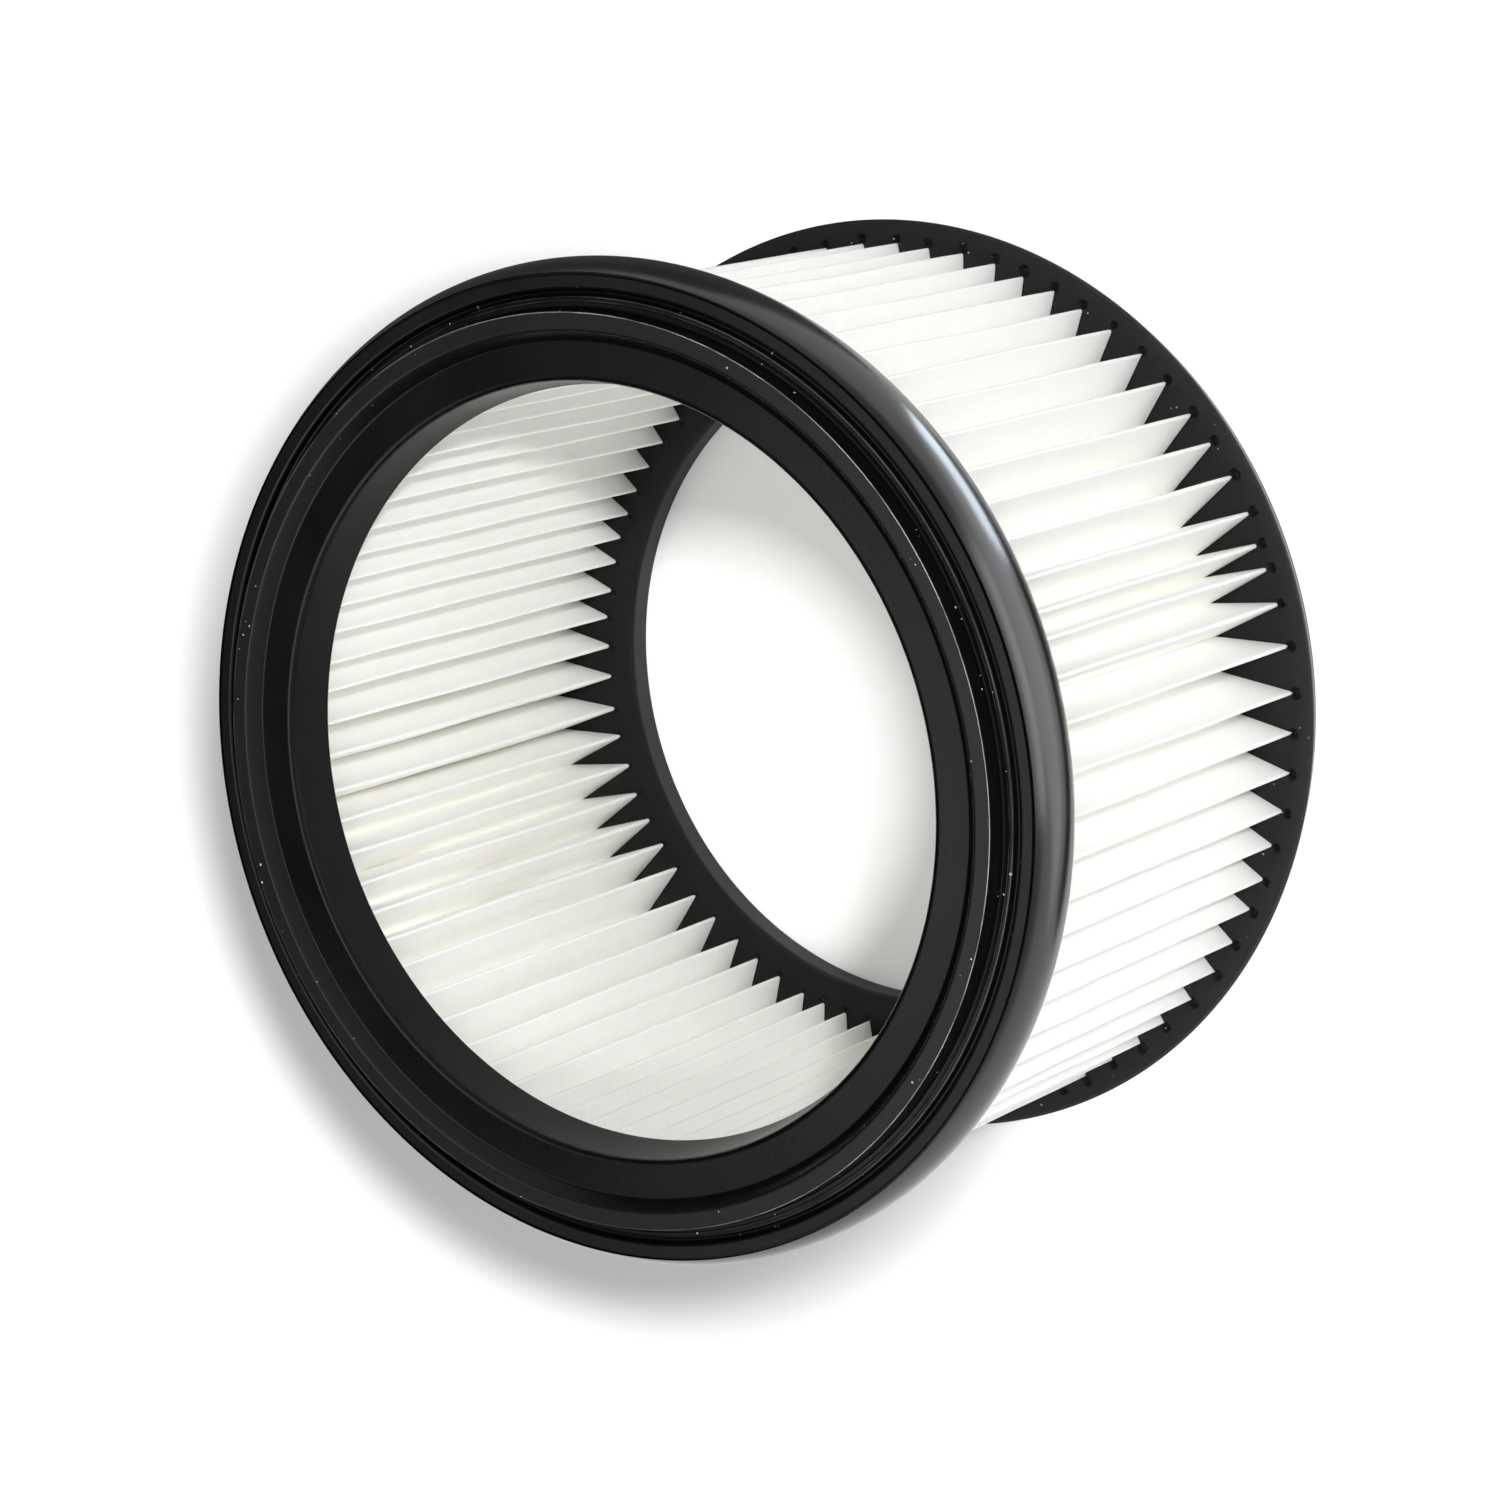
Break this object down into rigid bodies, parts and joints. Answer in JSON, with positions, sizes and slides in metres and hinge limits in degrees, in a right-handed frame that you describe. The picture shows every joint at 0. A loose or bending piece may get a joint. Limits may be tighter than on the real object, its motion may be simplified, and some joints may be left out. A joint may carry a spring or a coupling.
{
  "type": "vacuum hepa filter",
  "caption": "Open cylindrical cartridge filter: a white pleated sheet set between a stepped black seal ring and a flat black end ring.",
  "frame": {"origin": "centre of the rear ring's flat outer face, which the filter stands on", "axes": "+Z along the filter's axis, from the rear ring to the front seal ring"},
  "size_m": [0.185, 0.185, 0.11],
  "materials": {
    "front_moulding": "satin moulded, glossier on the outer flank",
    "media": "matte fibre sheet",
    "rear_moulding": "satin moulded"
  },
  "bodies": {
    "root": {"front_ring": "front_moulding", "media": "media", "rear_ring": "rear_moulding"}
  },
  "joints": []
}
